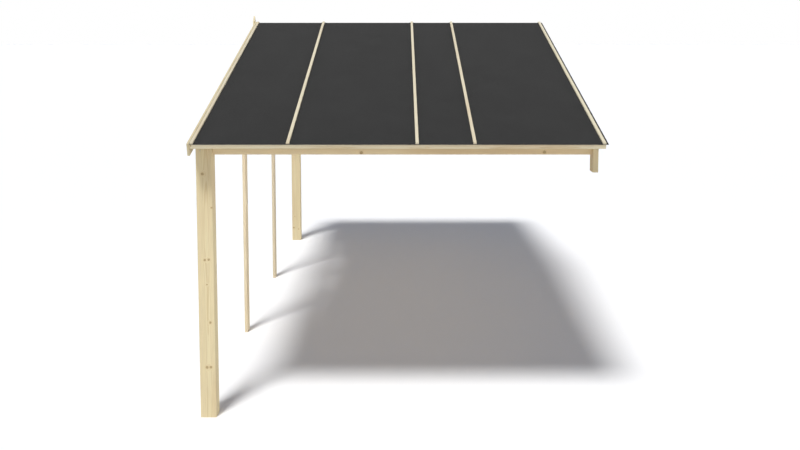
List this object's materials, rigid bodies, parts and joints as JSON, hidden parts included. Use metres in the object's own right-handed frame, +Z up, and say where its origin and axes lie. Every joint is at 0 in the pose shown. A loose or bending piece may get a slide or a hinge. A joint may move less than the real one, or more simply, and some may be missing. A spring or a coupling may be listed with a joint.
{
  "type": "saddle-roof patio canopy",
  "caption": "Timber patio canopy with a low saddle roof of felt and battens, carried by square posts and thin studs on one side and by wall brackets on the other.",
  "frame": {"origin": "on the wall face of the ridge bracket, level with the underside of the ridge beam", "axes": "+X out of the wall face, so the canopy lies on the -X side of the wall plane; +Y along the depth from the front eave to the rear eave; +Z up"},
  "size_m": [3.086, 6.3754, 3.1176],
  "materials": {
    "post_timber": "planed untreated pine, pale, with knots",
    "beam_timber": "planed untreated pine, warm",
    "roof_board_timber": "planed tongue-and-groove spruce",
    "trim_timber": "planed untreated spruce",
    "batten_timber": "planed untreated spruce, pale",
    "roofing_felt": "matt mineral-granule bitumen felt, dark grey",
    "zinc_fixings": "zinc-plated nails, screws and washers"
  },
  "bodies": {
    "root": {"front_post": "post_timber", "rear_post": "post_timber", "side_stud_front": "post_timber", "side_stud_rear": "post_timber", "gable_plate": "beam_timber", "gable_king_post": "beam_timber", "gable_strut_front_upper": "beam_timber", "gable_strut_front_lower": "beam_timber", "gable_strut_rear_upper": "beam_timber", "gable_strut_rear_lower": "beam_timber", "front_eave_beam": "beam_timber", "rear_eave_beam": "beam_timber", "ridge_beam": "beam_timber", "front_upper_purlin": "beam_timber", "front_lower_purlin": "beam_timber", "rear_upper_purlin": "beam_timber", "rear_lower_purlin": "beam_timber", "wall_bracket_front_eave": "beam_timber", "wall_bracket_front_lower": "beam_timber", "wall_bracket_front_upper": "beam_timber", "wall_bracket_ridge": "beam_timber", "wall_bracket_rear_upper": "beam_timber", "wall_bracket_rear_lower": "beam_timber", "wall_bracket_rear_eave": "beam_timber", "roof_boards_front": "roof_board_timber", "roof_boards_rear": "roof_board_timber", "eave_fascia_front": "trim_timber", "eave_fascia_rear": "trim_timber", "barge_board_front": "trim_timber", "barge_board_rear": "trim_timber", "gable_finial": "trim_timber", "felt_sheet_1": "roofing_felt", "felt_sheet_2": "roofing_felt", "felt_sheet_3": "roofing_felt", "felt_sheet_4": "roofing_felt", "front_batten_1": "batten_timber", "front_batten_2": "batten_timber", "front_batten_3": "batten_timber", "front_batten_4": "batten_timber", "front_batten_5": "batten_timber", "rear_batten_1": "batten_timber", "rear_batten_2": "batten_timber", "rear_batten_3": "batten_timber", "rear_batten_4": "batten_timber", "rear_batten_5": "batten_timber"}
  },
  "joints": []
}
